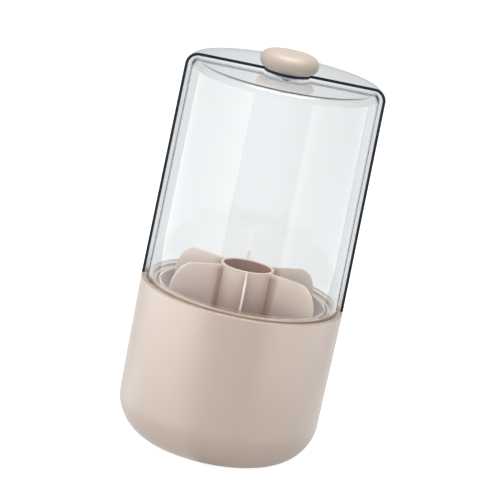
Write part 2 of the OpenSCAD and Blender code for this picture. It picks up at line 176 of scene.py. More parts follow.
class Signal:
    """A socket in a node tree, on which Python's arithmetic adds the Math nodes."""

    def __init__(self, maker, socket):
        self.maker = maker
        self.socket = socket

    def math(self, operation, *values):
        return self.maker.node("ShaderNodeMath", {"operation": operation}, dict(enumerate(values)))

    def __add__(self, other):
        return self.math("ADD", self, other)

    def __radd__(self, other):
        return self.math("ADD", other, self)

    def __sub__(self, other):
        return self.math("SUBTRACT", self, other)

    def __rsub__(self, other):
        return self.math("SUBTRACT", other, self)

    def __mul__(self, other):
        return self.math("MULTIPLY", self, other)

    def __rmul__(self, other):
        return self.math("MULTIPLY", other, self)

    def __truediv__(self, other):
        return self.math("DIVIDE", self, other)

    def __abs__(self):
        return self.math("ABSOLUTE", self)

    def at_least(self, other):
        return self.math("MAXIMUM", self, other)

    def at_most(self, other):
        return self.math("MINIMUM", self, other)

    def root(self):
        return self.math("SQRT", self)

    def sine(self):
        return self.math("SINE", self)

    def cosine(self):
        return self.math("COSINE", self)


class Maker:
    """Adds nodes to one tree."""

    def __init__(self, tree):
        self.tree = tree
        tree.nodes.clear()

    def node(self, kind, settings=None, sockets=None, output=0):
        """Adds a node, sets its settings and then its sockets, and gives back one output."""
        made = self.tree.nodes.new(kind)
        for name, value in (settings or {}).items():
            if name == "stops":
                self.set_stops(made.color_ramp, value)
            else:
                setattr(made, name, value)
        for name, value in (sockets or {}).items():
            if isinstance(value, Signal):
                self.tree.links.new(value.socket, made.inputs[name])
            else:
                made.inputs[name].default_value = value
        return Signal(self, made.outputs[output]) if made.outputs else made

    @staticmethod
    def set_stops(ramp, stops):
        for place, colour in stops[2:]:
            ramp.elements.new(place)
        for element, (place, colour) in zip(ramp.elements, stops):
            element.position = place
            element.color = colour


class Finish(Maker):
    """A material and the patterns that this part's plastics and metals share."""

    def __init__(self, name, shade):
        self.material = bpy.data.materials.new(name)
        self.material.use_nodes = True
        self.material.diffuse_color = (*shade, 1)
        super().__init__(self.material.node_tree)
        self.place = self.node("ShaderNodeTexCoord", output="Object")

    def axis(self, name):
        """One of the three Object coordinates."""
        split = self.node("ShaderNodeSeparateXYZ", {}, {"Vector": self.place})
        return Signal(self, split.socket.node.outputs[name])

    def from_axis(self):
        """Distance from the axis."""
        return (self.axis("X") * self.axis("X") + self.axis("Y") * self.axis("Y")).root()

    def stretched(self, scale):
        return self.node("ShaderNodeMapping", {}, {"Vector": self.place, "Scale": scale})

    def noise(self, size, detail=2.0, roughness=0.5, place=None):
        """Soft noise from 0 to 1 whose blobs are about size across."""
        return self.node("ShaderNodeTexNoise", {}, {
            "Vector": place or self.place,
            "Scale": 1 / size,
            "Detail": detail,
            "Roughness": roughness,
        })

    def between(self, a, b, share):
        """A colour between a and b."""
        return self.node("ShaderNodeMix", {"data_type": "RGBA"}, {0: share, 6: a, 7: b}, output=2)

    def spread(self, value, low, high):
        """A value that ran from 0.3 to 0.7 made to run from low to high."""
        return self.node("ShaderNodeMapRange", {}, {
            "Value": value,
            "From Min": 0.3,
            "From Max": 0.7,
            "To Min": low,
            "To Max": high,
        })

    def ramp(self, value, start, end, low, high):
        """Low up to start and high from end on, with an even slope between."""
        return self.node("ShaderNodeMapRange", {}, {
            "Value": value, "From Min": start, "From Max": end, "To Min": low, "To Max": high,
        })

    def bump(self, height, depth, strength=1.0):
        return self.node("ShaderNodeBump", {}, {
            "Height": height,
            "Distance": depth,
            "Strength": strength,
        })

    def surface(self, shader):
        self.node("ShaderNodeOutputMaterial", {}, {"Surface": shader})
        return self.material


def colour(red, green, blue):
    """A colour written as screen values from 0 to 255, made linear."""
    return tuple(((c / 255 + 0.055) / 1.055) ** 2.4 for c in (red, green, blue)) + (1,)


BEIGE = colour(177, 157, 142)
BEIGE_WARM = colour(174, 154, 139)
CUP_BEIGE = colour(200, 180, 165)
CUP_PAINTED_SHADE = colour(168, 136, 124)
# The divider is the base's plastic in a lighter tone: painted light for the stronger light on it.
DIVIDER_LIT_BEIGE = colour(228, 205, 189)
DIVIDER_LIT_WARM = colour(225, 202, 186)
DIVIDER_PAINTED_SHADE = colour(164, 116, 100)
KNOB_BEIGE = colour(180, 164, 149)
KNOB_WARM = colour(177, 161, 146)
WARM_WHITE = colour(236, 235, 230)
PAINTED_CUT_NAVY = colour(34, 42, 54)
CLEAR = colour(255, 255, 255)
CLEAR_HAZE = colour(252, 253, 253)
CLEAR_PAINTED_RIM_REFLECTION = colour(255, 244, 236)
CLEAR_TO_LAMPS = (0.985, 0.99, 0.99, 1)
CLEAR_IN_DEPTH = (0.2, 0.6, 0.84, 1)
CLEAR_DENSITY = 14.0

# Where a finish changes its tone: painted shade, the painted dark cut and the painted warm
# reflection on the door's foot
BORE_EDGE = (TUBE_R - TUBE_WALL + 0.05 * MM, TUBE_R - TUBE_WALL + 0.4 * MM)
BORE_TOP = (DIVIDER_TOP_Z - 1.2 * MM, DIVIDER_TOP_Z - 0.3 * MM)
LOW_HEIGHTS = (LEDGE_Z - 8 * MM, LEDGE_Z + 14 * MM)
LOW_PAINTED_SHADE = 0.4
ROOT_START = (TUBE_R + 0.1 * MM, TUBE_R + 0.6 * MM)
ROOT_REACH = (TUBE_R + 0.6 * MM, TUBE_R + 9 * MM)
ROOT_TOP = (DIVIDER_TOP_Z - 3 * MM, DIVIDER_TOP_Z - 0.6 * MM)
ROOT_PAINTED_SHADE = 0.9
CUP_RIM = (RIM_Z - 2 * MM, RIM_Z - 0.4 * MM)
CUT_PLANE = (0.22 * MM, 0.3 * MM)
CUT_PAINTED_SHARE = 0.92
CUT_FOOT = (LEDGE_Z, LEDGE_Z + 0.1 * MM)
BESIDE_TAB = (COVER_TAB_R - 0.5 * MM, COVER_TAB_R)
TAB_EDGE = (COVER_TAB_R - 0.3 * MM, COVER_TAB_R - 0.22 * MM)
TAB_FRONT = (-0.5 * MM, 0)
HOOP_TOP = (HOOP_TOP_Z + 0.2 * MM, HOOP_TOP_Z + 1.2 * MM)


def painted_shade_in_tube(f):
    """Share of the divider's painted shade, a darker, warmer tone: in its tube, at the fins' roots,
    and low down.
    """
    height = f.axis("Z")
    radius = f.from_axis()
    bore = f.ramp(radius, *BORE_EDGE, 1, 0) * f.ramp(height, *BORE_TOP, 1, 0)
    low = f.ramp(height, *LOW_HEIGHTS, LOW_PAINTED_SHADE, 0)
    roots = f.ramp(radius, *ROOT_REACH, ROOT_PAINTED_SHADE, 0) * f.ramp(radius, *ROOT_START, 0, 1)
    roots = roots * f.ramp(height, *ROOT_TOP, 1, 0)
    return bore.at_least(low).at_least(roots)


def painted_shade_under_rim(f):
    """Share of the cup's painted shade, a darker, warmer tone: everywhere under its rim."""
    return f.ramp(f.axis("Z"), *CUP_RIM, 1, 0)


def satin_plastic(name, tone, warm_tone, roughness, coat, painted_shade_tone=None, painted_shade_share=None):
    """Moulded plastic with a fine spark-eroded skin and a faint cloudiness of its colour, and, where
    a share is given, painted shade in a darker tone.
    """
    f = Finish(name, tone[:3])
    cloud = f.noise(46 * MM, 3.0, 0.55)
    skin = f.noise(0.42 * MM, 2.0, 0.6)
    ripple = f.noise(9 * MM, 1.0)
    handled = f.noise(21 * MM, 4.0, 0.6)
    relief = skin + 0.7 * ripple
    tint = f.between(tone, warm_tone, f.spread(cloud, 0.0, 1.0))
    # Painted shade: a darker, warmer tone blended in where the share says.
    if painted_shade_tone:
        tint = f.between(tint, painted_shade_tone, painted_shade_share(f))
    shader = f.node("ShaderNodeBsdfPrincipled", {}, {
        "Base Color": tint,
        "Roughness": f.spread(handled, roughness - 0.03, roughness + 0.04),
        "IOR": 1.5,
        "Specular IOR Level": 0.9,
        "Coat Weight": coat,
        "Coat Roughness": roughness - 0.06,
        "Coat IOR": 1.6,
        "Normal": f.bump(relief, 0.006 * MM, 0.6),
    })
    return f.surface(shader)


def painted_dark_cut(f):
    """Share of the painted shade on the cut: dark navy painted on the fixed half's upright cut faces
    and the edge of its tab.
    """
    behind = f.axis("Y")
    radius = f.from_axis()
    flat_cut = f.ramp(abs(behind), *CUT_PLANE, 1, 0) * f.ramp(radius, *BESIDE_TAB, 0, 1)
    tab = f.ramp(radius, *TAB_EDGE, 0, 1) * f.ramp(behind, *TAB_FRONT, 1, 0)
    return flat_cut.at_least(tab) * f.ramp(f.axis("Z"), *CUT_FOOT, 0, CUT_PAINTED_SHARE)


def painted_rim_reflection(f):
    """Share of the painted reflection on the door's foot: a warm tone that stands for the beige rims
    beside it.
    """
    return f.ramp(f.axis("Z"), *HOOP_TOP, 1, 0)


def clear_plastic(name, painted_dark_share=None, painted_warm_share=None):
    """Polished clear plastic. Lamps and bounced light pass straight through it, and its depth
    of wall tints it, so that edges seen along the wall go darker."""
    f = Finish(name, (0.85, 0.9, 0.93))
    flow = f.noise(38 * MM, 1.0, 0.4, f.stretched((1.0, 1.0, 0.35)))
    haze = f.noise(3 * MM, 5.0, 0.7)
    polish = f.spread(haze, 0.0, 0.022)
    tint = f.between(CLEAR_HAZE, CLEAR, haze)
    # Painted reflection: a warm tone blended into the clear plastic where the share says.
    if painted_warm_share:
        tint = f.between(tint, CLEAR_PAINTED_RIM_REFLECTION, painted_warm_share(f))
    body = f.node("ShaderNodeBsdfPrincipled", {}, {
        "Base Color": tint,
        "Roughness": polish,
        "IOR": 1.49,
        "Transmission Weight": 1.0,
        "Normal": f.bump(flow, 0.05 * MM, 0.25),
    })
    passing = f.node("ShaderNodeBsdfTransparent", {}, {"Color": CLEAR_TO_LAMPS})
    ray = f.node("ShaderNodeLightPath", output="Is Shadow Ray")
    bounced = Signal(f, ray.socket.node.outputs["Is Diffuse Ray"])
    # Painted shade: a dark navy surface mixed into the clear plastic where the share says.
    if painted_dark_share:
        dark = f.node("ShaderNodeBsdfPrincipled", {}, {
            "Base Color": PAINTED_CUT_NAVY, "Roughness": 0.3, "Specular IOR Level": 0.1,
        })
        body = f.node("ShaderNodeMixShader", {}, {0: painted_dark_share(f), 1: body, 2: dark})
    shader = f.node("ShaderNodeMixShader", {}, {0: ray.at_least(bounced), 1: body, 2: passing})
    depth = f.node("ShaderNodeVolumeAbsorption", {}, {
        "Color": CLEAR_IN_DEPTH,
        "Density": CLEAR_DENSITY,
    })
    f.node("ShaderNodeOutputMaterial", {}, {"Surface": shader, "Volume": depth})
    return f.material


def metal(name, tone, roughness, grain, grain_size, stretch=(1, 1, 1), bump=0.002 * MM):
    """Bare metal with a fine grain and light staining."""
    f = Finish(name, tone[:3])
    place = f.stretched(stretch)
    lines = f.noise(grain_size, 3.0, 0.6, place)
    stain = f.noise(7 * MM, 4.0, 0.6)
    dark = tuple(0.82 * c for c in tone[:3]) + (1,)
    shader = f.node("ShaderNodeBsdfPrincipled", {}, {
        "Base Color": f.between(dark, tone, f.spread(stain, 0.2, 1.0)),
        "Metallic": 1.0,
        "Roughness": f.spread(lines, roughness - grain, roughness + grain),
        "Normal": f.bump(lines, bump, 0.5),
    })
    return f.surface(shader)


def silicone(name, tone):
    """Soft matte silicone with a dusty bloom."""
    f = Finish(name, tone[:3])
    bloom = f.noise(5 * MM, 5.0, 0.65)
    grain = f.noise(0.5 * MM, 2.0)
    dusty = tuple(min(1, c * 1.12) for c in tone[:3]) + (1,)
    shader = f.node("ShaderNodeBsdfPrincipled", {}, {
        "Base Color": f.between(tone, dusty, f.spread(bloom, 0.0, 1.0)),
        "Roughness": f.spread(bloom, 0.66, 0.84),
        "Normal": f.bump(grain, 0.012 * MM, 0.7),
    })
    return f.surface(shader)


BASE_PLASTIC = satin_plastic("beige_satin", BEIGE, BEIGE_WARM, 0.42, 1.0)
RING_PLASTIC = satin_plastic("ring_satin", CUP_BEIGE, BEIGE_WARM, 0.46, 0.4)
CUP_PLASTIC = satin_plastic("cup_satin", CUP_BEIGE, BEIGE_WARM, 0.46, 0.4, CUP_PAINTED_SHADE, painted_shade_under_rim)
DIVIDER_PLASTIC = satin_plastic(
    "divider_satin", DIVIDER_LIT_BEIGE, DIVIDER_LIT_WARM, 0.48, 0.4, DIVIDER_PAINTED_SHADE, painted_shade_in_tube,
)
KNOB_PLASTIC = satin_plastic("knob_satin", KNOB_BEIGE, KNOB_WARM, 0.5, 0.5)
BUSH_PLASTIC = satin_plastic("bearing_white", WARM_WHITE, colour(228, 226, 218), 0.34, 0.3)
DOOR_PLASTIC = clear_plastic("clear_polished", painted_warm_share=painted_rim_reflection)
COVER_PLASTIC = clear_plastic("clear_with_painted_dark_cut", painted_dark_cut)
FOOT_SILICONE = silicone("foot_silicone", colour(198, 190, 182))
PRESSED_STEEL = metal("pressed_steel", colour(186, 188, 192), 0.34, 0.08, 0.8 * MM)
ZINC_STEEL = metal("zinc_steel", colour(178, 180, 186), 0.28, 0.06, 0.4 * MM)
BALL_STEEL = metal("ball_steel", colour(214, 216, 220), 0.09, 0.03, 1.2 * MM, bump=0.0004 * MM)
TURNED_BRASS = metal("turned_brass", colour(206, 172, 98), 0.24, 0.06, 0.3 * MM, (1, 1, 8))


def arc(r, z, reach_r, reach_z, start, end, steps):
    """Points of an arc about (r, z), with its own reach along each axis."""
    turns = [math.radians(start + (end - start) * i / steps) for i in range(steps + 1)]
    return [(r + reach_r * math.cos(t), z + reach_z * math.sin(t)) for t in turns]


def square(half_width):
    """The radius of a square hole or peg at each angle."""
    def radius(turn):
        t = math.radians(turn)
        return half_width / max(abs(math.cos(t)), abs(math.sin(t)))
    return radius


class Solid:
    """Gathers the faces of one closed piece."""

    def __init__(self):
        self.mesh = bmesh.new()

    def vertex(self, point, turn):
        r, z = point
        r = r(turn) if callable(r) else r
        t = math.radians(turn)
        return self.mesh.verts.new((r * math.cos(t), r * math.sin(t), z))

    def sweep(self, path, *turns):
        """Turns a path from each of the angles to the next."""
        for start, end in zip(turns, turns[1:]):
            steps = max(1, round((end - start) / TURN_STEP))
            rows = [
                [self.vertex(p, start + (end - start) * i / steps) for p in path]
                for i in range(steps + 1)
            ]
            for a, b in zip(rows, rows[1:]):
                for i in range(len(path) - 1):
                    self.mesh.faces.new((a[i], b[i], b[i + 1], a[i + 1]))

    def cut_face(self, outer, inner, turn):
        """The flat face between two paths, at one angle."""
        a = [self.vertex(p, turn) for p in outer]
        b = [self.vertex(p, turn) for p in inner]
        for i in range(len(outer) - 1):
            self.mesh.faces.new((a[i], a[i + 1], b[i + 1], b[i]))

    def flat(self, points, turn):
        """One flat face with the given corners, at one angle."""
        self.mesh.faces.new([self.vertex(p, turn) for p in points])

    def closed(self, name, material, cut_round=0.0):
        """Joins the faces and gives the piece, its cut edges rounded if asked."""
        bmesh.ops.remove_doubles(self.mesh, verts=self.mesh.verts, dist=CLOSE)
        bmesh.ops.dissolve_degenerate(self.mesh, edges=self.mesh.edges, dist=CLOSE / 10)
        piece = as_piece(name, self.mesh, material)
        if cut_round:
            rounding = piece.modifiers.new("cut_edges", "BEVEL")
            rounding.limit_method = "ANGLE"
            rounding.angle_limit = math.radians(ROUNDED_ANGLE)
            rounding.width = cut_round
            rounding.segments = ROUND_STEPS
            rounding.harden_normals = True
        return piece


def as_piece(name, mesh, material):
    """A smooth-shaded object at the origin from a bmesh, its normals pointing outwards."""
    bmesh.ops.recalc_face_normals(mesh, faces=mesh.faces)
    for face in mesh.faces:
        face.smooth = True
    data = bpy.data.meshes.new(name)
    mesh.to_mesh(data)
    mesh.free()
    data.set_sharp_from_angle(angle=math.radians(SHARP_ANGLE))
    data.materials.append(material)
    piece = bpy.data.objects.new(name, data)
    bpy.context.scene.collection.objects.link(piece)
    return piece


def turned(name, outline, material):
    """A piece turned all the way round from a closed outline."""
    solid = Solid()
    solid.sweep(outline + outline[:1], 0, 360)
    return solid.closed(name, material)


def made_plain(piece, material):
    """Turns a piece with modifiers into a plain mesh with clean normals."""
    graph = bpy.context.evaluated_depsgraph_get()
    shaped = bpy.data.meshes.new_from_object(piece.evaluated_get(graph))
    mesh = bmesh.new()
    mesh.from_mesh(shaped)
    bmesh.ops.remove_doubles(mesh, verts=mesh.verts, dist=CLOSE)
    name = piece.name
    bpy.data.objects.remove(piece)
    plain = as_piece(name, mesh, material)
    plain.name = name
    return plain


def geometry_tree(name, inputs):
    """A geometry tree with a geometry input, named inputs and a geometry output."""
    tree = bpy.data.node_groups.new(name, "GeometryNodeTree")
    tree.interface.new_socket("Geometry", in_out="INPUT", socket_type="NodeSocketGeometry")
    for socket_name, socket_type in inputs:
        tree.interface.new_socket(socket_name, in_out="INPUT", socket_type=socket_type)
    tree.interface.new_socket("Geometry", in_out="OUTPUT", socket_type="NodeSocketGeometry")
    return tree


def shape_with(piece, tree, values):
    """Puts a geometry tree on a piece and sets its inputs by the sockets' identifiers."""
    modifier = piece.modifiers.new(tree.name, "NODES")
    modifier.node_group = tree
    for item in tree.interface.items_tree:
        if item.in_out == "INPUT" and item.name in values:
            modifier[item.identifier] = values[item.name]


def round_the_axis(maker, geometry, count, first_turn, material, beside=None):
    """Repeats geometry at equal turns about the axis, and ends the tree."""
    points = maker.node("GeometryNodePoints", {}, {"Count": count})
    index = maker.node("GeometryNodeInputIndex")
    turn = maker.node("ShaderNodeCombineXYZ", {}, {"Z": first_turn + index * math.tau / count})
    copies = maker.node("GeometryNodeInstanceOnPoints", {}, {
        "Points": points,
        "Instance": geometry,
        "Rotation": turn,
    })
    real = maker.node("GeometryNodeRealizeInstances", {}, {"Geometry": copies})
    if beside:
        joined = maker.node("GeometryNodeJoinGeometry")
        for part in (real, beside):
            maker.tree.links.new(part.socket, joined.socket.node.inputs[0])
        real = joined
    painted = maker.node("GeometryNodeSetMaterial", {}, {"Geometry": real, "Material": material})
    maker.node("NodeGroupOutput", {}, {"Geometry": painted})


def given(maker, name):
    return maker.node("NodeGroupInput", output=name)


def repeat_tree():
    """Repeats the piece's own shape round the axis."""
    tree = geometry_tree("round_the_axis", [
        ("Count", "NodeSocketInt"),
        ("First Turn", "NodeSocketFloat"),
        ("Material", "NodeSocketMaterial"),
    ])
    maker = Maker(tree)
    round_the_axis(
        maker, given(maker, "Geometry"), given(maker, "Count"),
        given(maker, "First Turn"), given(maker, "Material"),
    )
    return tree


def fin_tree():
    """Adds the fins to the divider's tube. A fin is level out to one radius and then falls in a
    quarter ellipse to the cup's wall, and its foot follows the cup's rounded corner."""
    tree = geometry_tree("fins_round_a_tube", [
        ("Fin Count", "NodeSocketInt"),
        ("First Turn", "NodeSocketFloat"),
        ("Fin Thickness", "NodeSocketFloat"),
        ("Root Radius", "NodeSocketFloat"),
        ("Level Radius", "NodeSocketFloat"),
        ("Rim Radius", "NodeSocketFloat"),
        ("Foot Radius", "NodeSocketFloat"),
        ("Foot Height", "NodeSocketFloat"),
        ("Top Height", "NodeSocketFloat"),
        ("Shoulder Height", "NodeSocketFloat"),
        ("Corner Radius", "NodeSocketFloat"),
        ("Material", "NodeSocketMaterial"),
    ])
    m = Maker(tree)
    thickness = given(m, "Fin Thickness")
    root = given(m, "Root Radius")
    level = given(m, "Level Radius")
    foot_r = given(m, "Foot Radius")
    foot_z = given(m, "Foot Height")
    shoulder_z = given(m, "Shoulder Height")
    corner = given(m, "Corner Radius")

    sheet = m.node("GeometryNodeMeshGrid", {}, {
        "Size X": 2.0, "Size Y": 1.0, "Vertices X": 65, "Vertices Y": 25,
    })
    place = m.node("GeometryNodeInputPosition")
    along = m.node("ShaderNodeSeparateXYZ", {}, {"Vector": place})
    up = Signal(m, along.socket.node.outputs["Y"]) + 0.5
    level_share = (along + 1.0).at_most(1.0)
    curve_turn = along.at_least(0.0) * (math.pi / 2)

    flat_part = root + (level - root) * level_share
    top_r = flat_part + (given(m, "Rim Radius") - level) * curve_turn.sine()
    top_z = shoulder_z + (given(m, "Top Height") - shoulder_z) * curve_turn.cosine()
    low_r = flat_part + (foot_r - level) * curve_turn.sine()
    past = (low_r - (foot_r - corner)).at_least(0.0)
    low_z = foot_z + corner - (corner * corner - past * past).at_least(0.0).root()

    side = m.node("ShaderNodeCombineXYZ", {}, {
        "X": low_r + (top_r - low_r) * up,
        "Y": thickness * -0.5,
        "Z": low_z + (top_z - low_z) * up,
    })
    face = m.node("GeometryNodeSetPosition", {}, {"Geometry": sheet, "Position": side})
    across = m.node("ShaderNodeCombineXYZ", {}, {"Y": thickness})
    thick = m.node("GeometryNodeExtrudeMesh", {}, {
        "Mesh": face, "Offset": across, "Offset Scale": 1.0, "Individual": False,
    })
    back = m.node("GeometryNodeFlipFaces", {}, {"Mesh": face})
    fin = m.node("GeometryNodeJoinGeometry")
    for part in (thick, back):
        tree.links.new(part.socket, fin.socket.node.inputs[0])
    fin = m.node("GeometryNodeMergeByDistance", {}, {"Geometry": fin, "Distance": CLOSE})
    round_the_axis(
        m, fin, given(m, "Fin Count"), given(m, "First Turn"), given(m, "Material"),
        beside=given(m, "Geometry"),
    )
    return tree


REPEAT = repeat_tree()


def repeated(piece, count, first_turn, material):
    """The piece's shape repeated round the axis, as one plain mesh."""
    shape_with(piece, REPEAT, {
        "Count": count,
        "First Turn": math.radians(first_turn),
        "Material": material,
    })
    return made_plain(piece, material)


def block(name, low, high, material):
    """A plain block between two corners, with softened edges, for ribs."""
    mesh = bmesh.new()
    bmesh.ops.create_cube(mesh, size=1)
    size = Vector(high) - Vector(low)
    middle = (Vector(high) + Vector(low)) / 2
    mesh.transform(Matrix.Translation(middle) @ Matrix.Diagonal((*size, 1)))
    bmesh.ops.bevel(
        mesh, geom=mesh.edges, offset=0.2 * MM, offset_type="OFFSET", segments=2,
        profile=0.5, affect="EDGES",
    )
    return as_piece(name, mesh, material)


def placed(piece, body, slot, *nodes):
    """Rides the piece on its body in place of the CAD nodes. The slot is not used."""
    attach(piece, body)
    if nodes:
        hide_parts(*nodes)
    return piece


def base_bowl():
    """The deep base: rounded bottom, ledge, the foot ring's seat, and the step for the cover."""
    foot_r = BASE_R - BASE_DRAFT
    flat_r = foot_r - BASE_CORNER
    corner_z = BASE_Z + BASE_CORNER
    floor_z = BASE_Z + BASE_FLOOR
    in_corner = BASE_CORNER - BASE_WALL
    edge_r = BASE_R - LEDGE_ROUND
    edge_z = LEDGE_Z - LEDGE_ROUND
    step_z = LEDGE_Z - STEP_DEPTH
    soft = 0.25 * MM
    step_turn = math.degrees(math.acos((STEP_R - edge_r) / LEDGE_ROUND))
    seat_z = BASE_Z + FOOT_SEAT

    outside = [
        (0, BASE_Z), (FOOT_IN_R, BASE_Z), (FOOT_IN_R, seat_z), (FOOT_OUT_R, seat_z),
        (FOOT_OUT_R, BASE_Z),
    ]
    outside += arc(flat_r, corner_z, BASE_CORNER, BASE_CORNER, -90, 0, CORNER_STEPS)
    outside += arc(edge_r, edge_z, LEDGE_ROUND, LEDGE_ROUND, 0, step_turn, EDGE_STEPS)
    ledge = arc(edge_r, edge_z, LEDGE_ROUND, LEDGE_ROUND, step_turn, 90, 2)[1:]
    ledge += arc(MOUTH_R + soft, LEDGE_Z - soft, soft, soft, 90, 180, 4)
    inside = arc(flat_r, floor_z + in_corner, in_corner, in_corner, 0, -90, CORNER_STEPS)
    inside += [(0, floor_z)]
    step_in = (MOUTH_R, step_z)
    step_out = (STEP_R, step_z)

    bowl = Solid()
    bowl.sweep(outside + ledge + [step_in] + inside, 180 - STEP_END, 360 + STEP_END)
    bowl.sweep(outside + [step_out, step_in] + inside, STEP_END, 180 - STEP_END)
    for turn in (STEP_END, 180 - STEP_END):
        bowl.flat([outside[-1]] + ledge + [step_in, step_out], turn)
    placed(bowl.closed("base_bowl", BASE_PLASTIC), "base", "beige_plastic", "base_shell")

    ribs = block(
        "base_ribs",
        (MOUTH_R - RIB_W, -RIB_T / 2, floor_z + in_corner),
        (MOUTH_R + BASE_WALL / 4, RIB_T / 2, TRACK_Z),
        BASE_PLASTIC,
    )
    placed(repeated(ribs, RIB_COUNT, 180 / RIB_COUNT, BASE_PLASTIC), "base", "beige_plastic")

    boss_top = floor_z + BOSS_H
    boss = turned("race_bosses", [
        (SCREW_R, floor_z - BASE_FLOOR / 2),
        (BOSS_R, floor_z - BASE_FLOOR / 2),
        (BOSS_R, boss_top - 0.3 * MM),
        (BOSS_R - 0.3 * MM, boss_top),
        (SCREW_R, boss_top),
    ], BASE_PLASTIC)
    boss.data.transform(Matrix.Translation((SCREW_PITCH_R, 0, 0)))
    placed(repeated(boss, BOSS_COUNT, 60, BASE_PLASTIC), "base", "beige_plastic")


def groove_ring():
    """The collar round the cup, with the floor of the groove that the hoop runs in."""
    in_r = CUP_R + COLLAR_GAP
    out_r = in_r + COLLAR_T
    groove_z = TRACK_Z + TRACK_FLOOR
    root = 0.4 * MM
    edge_z = RIM_Z - RIM_ROUND
    outline = [(in_r, TRACK_Z), (TRACK_R, TRACK_Z), (TRACK_R, groove_z)]
    outline += arc(out_r + root, groove_z + root, root, root, 270, 180, 4)
    outline += arc(out_r - RIM_ROUND, edge_z, RIM_ROUND, RIM_ROUND, 0, 90, EDGE_STEPS)
    outline += arc(in_r + RIM_ROUND, edge_z, RIM_ROUND, RIM_ROUND, 90, 180, EDGE_STEPS)
    placed(turned("groove_ring", outline, RING_PLASTIC), "base", "beige_plastic", "track_ring")


def turning_cup():
    """The cup, with its hub and the countersunk holes of its screws."""
    floor_z = CUP_Z + CUP_FLOOR
    foot_r = CUP_R - CUP_DRAFT
    flat_r = foot_r - CUP_CORNER
    in_corner = CUP_CORNER - CUP_WALL
    in_r = CUP_R - CUP_WALL
    edge_z = RIM_Z - RIM_ROUND
    soft = 0.5 * MM
    outline = [(0, POCKET_TOP_Z), (POCKET_R, POCKET_TOP_Z), (POCKET_R, CUP_Z)]
    outline += arc(flat_r, CUP_Z + CUP_CORNER, CUP_CORNER, CUP_CORNER, -90, 0, CORNER_STEPS)
    outline += arc(CUP_R - RIM_ROUND, edge_z, RIM_ROUND, RIM_ROUND, 0, 90, EDGE_STEPS)
    outline += arc(in_r + RIM_ROUND, edge_z, RIM_ROUND, RIM_ROUND, 90, 180, EDGE_STEPS)
    outline += arc(flat_r, floor_z + in_corner, in_corner, in_corner, 0, -90, CORNER_STEPS)
    outline += arc(HUB_R + soft, floor_z + soft, soft, soft, 270, 180, 4)
    outline += arc(HUB_R - soft, HUB_TOP_Z - soft, soft, soft, 0, 90, 4)
    outline += [(0, HUB_TOP_Z)]
    cup = turned("turning_cup", outline, CUP_PLASTIC)

    over = 1 * MM
    seat_z = floor_z - COUNTERBORE
    hole_r = SCREW_R + 0.15 * MM
    holes = turned("screw_holes", [
        (0, CUP_Z - over), (hole_r, CUP_Z - over), (hole_r, seat_z), (COUNTERBORE_R, seat_z),
        (COUNTERBORE_R, floor_z + over), (0, floor_z + over),
    ], CUP_PLASTIC)
    holes.data.transform(Matrix.Translation((SCREW_PITCH_R, 0, 0)))
    holes = repeated(holes, BOSS_COUNT, 0, CUP_PLASTIC)
    drill = cup.modifiers.new("screw_holes", "BOOLEAN")
    drill.operation = "DIFFERENCE"
    drill.solver = "EXACT"
    drill.object = holes
    cup = made_plain(cup, CUP_PLASTIC)
    bpy.data.objects.remove(holes)
    placed(cup, "carousel", "cup_plastic", "rotating_cup")


def divider():
    """The middle tube with its fins."""
    in_r = TUBE_R - TUBE_WALL
    lip = 0.4 * MM
    outline = [(in_r, DIVIDER_Z), (TUBE_R, DIVIDER_Z)]
    outline += arc(TUBE_R - lip, DIVIDER_TOP_Z - lip, lip, lip, 0, 90, EDGE_STEPS)
    outline += arc(in_r + lip, DIVIDER_TOP_Z - lip, lip, lip, 90, 180, EDGE_STEPS)
    piece = turned("divider_with_fins", outline, DIVIDER_PLASTIC)
    shape_with(piece, fin_tree(), {
        "Fin Count": FIN_COUNT,
        "First Turn": math.radians(-90),
        "Fin Thickness": FIN_T,
        "Root Radius": TUBE_R - TUBE_WALL / 2,
        "Level Radius": FIN_LEVEL_R,
        "Rim Radius": FIN_RIM_R,
        "Foot Radius": FIN_FOOT_R,
        "Foot Height": DIVIDER_Z,
        "Top Height": DIVIDER_TOP_Z - FIN_DROP,
        "Shoulder Height": FIN_SHOULDER_Z,
        "Corner Radius": CUP_CORNER - CUP_WALL - 0.3 * MM,
        "Material": DIVIDER_PLASTIC,
    })
    rounding = piece.modifiers.new("fin_edges", "BEVEL")
    rounding.limit_method = "ANGLE"
    rounding.angle_limit = math.radians(ROUNDED_ANGLE)
    rounding.width = FIN_ROUND
    rounding.segments = ROUND_STEPS
    piece = made_plain(piece, DIVIDER_PLASTIC)
    placed(piece, "divider", "divider_plastic", "divider_insert")


def shell_paths(foot_r, top_r, foot_z, top_z, shoulder, wall, cap, from_r):
    """Outer and inner paths of a thin shell, point for point, from its flat top to its foot."""
    paths = []
    for inset, drop in ((0, 0), (wall, cap)):
        path = [(from_r, top_z - drop)]
        path += arc(top_r - shoulder, top_z - shoulder, shoulder - inset, shoulder - drop,
                    90, 0, EDGE_STEPS * 2)
        path += [(foot_r - inset, foot_z)]
        paths.append(path)
    return paths


